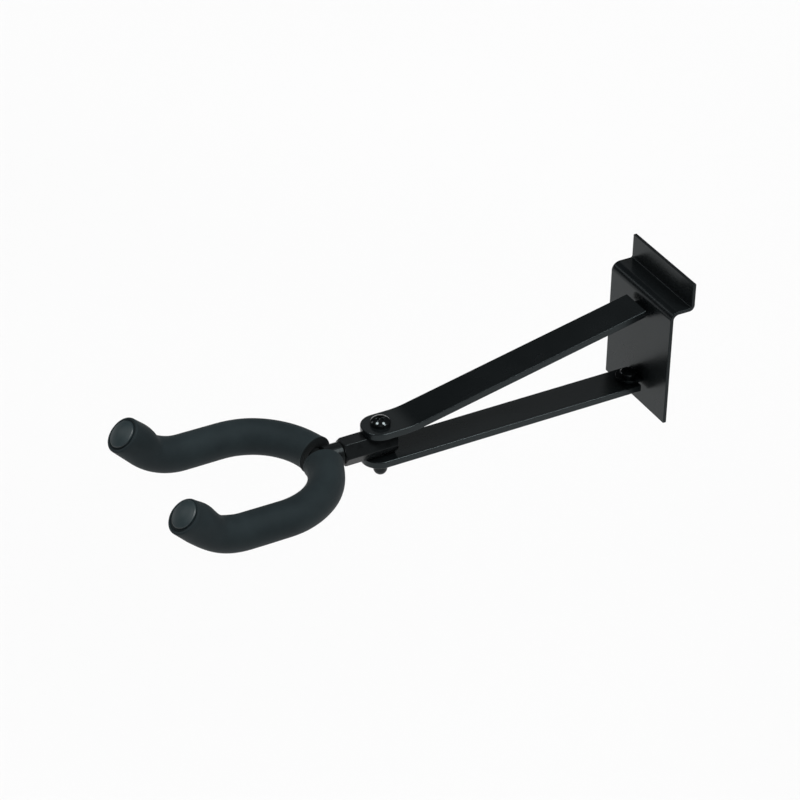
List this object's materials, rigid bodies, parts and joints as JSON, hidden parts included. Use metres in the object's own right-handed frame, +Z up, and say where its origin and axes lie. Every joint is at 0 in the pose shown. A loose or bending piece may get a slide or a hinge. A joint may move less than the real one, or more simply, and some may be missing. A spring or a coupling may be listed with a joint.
{
  "type": "wall guitar hanger",
  "caption": "Slatwall hook plate with flat converging arms, a clamped hexagonal shank and a foam-padded yoke that holds an instrument by its headstock.",
  "frame": {"origin": "middle of the plate's flat wall face, on the wall plane", "axes": "+Z up, +Y into the wall, so the arms reach out along -Y; +X across the plate's width"},
  "size_m": [0.0976, 0.3116, 0.0853],
  "materials": {
    "powder_coat": "satin black powder coat",
    "black_fastener": "glossy black",
    "black_steel": "semi-gloss black",
    "foam": "matte closed-cell foam",
    "cap_plastic": "matte moulded plastic"
  },
  "bodies": {
    "bracket": {"wall_plate": "powder_coat", "upper_lug": "powder_coat", "lower_lug": "powder_coat", "upper_arm": "powder_coat", "lower_arm": "powder_coat", "upper_lug_screw": "black_fastener", "lower_lug_screw": "black_fastener", "pivot_screw": "black_fastener", "pivot_cap_nut": "black_fastener"},
    "shank": {"hex_shank": "black_steel"},
    "yoke": {"yoke_neck": "black_steel", "yoke_rod": "black_steel", "foam_sleeve_left": "foam", "foam_sleeve_right": "foam", "end_cap_left": "cap_plastic", "end_cap_right": "cap_plastic"}
  },
  "joints": [
    {"name": "yoke_pan", "type": "hinge", "parent": "bracket", "child": "shank", "pos_m": [0, -0.1613, -0.0143], "axis": [0, 0, 1], "range_deg": [-90, 90]},
    {"name": "yoke_swivel", "type": "hinge", "parent": "shank", "child": "yoke", "pos_m": [0, -0.185, -0.0143], "axis": [0, 1, 0], "range_deg": [-90, 90]}
  ]
}
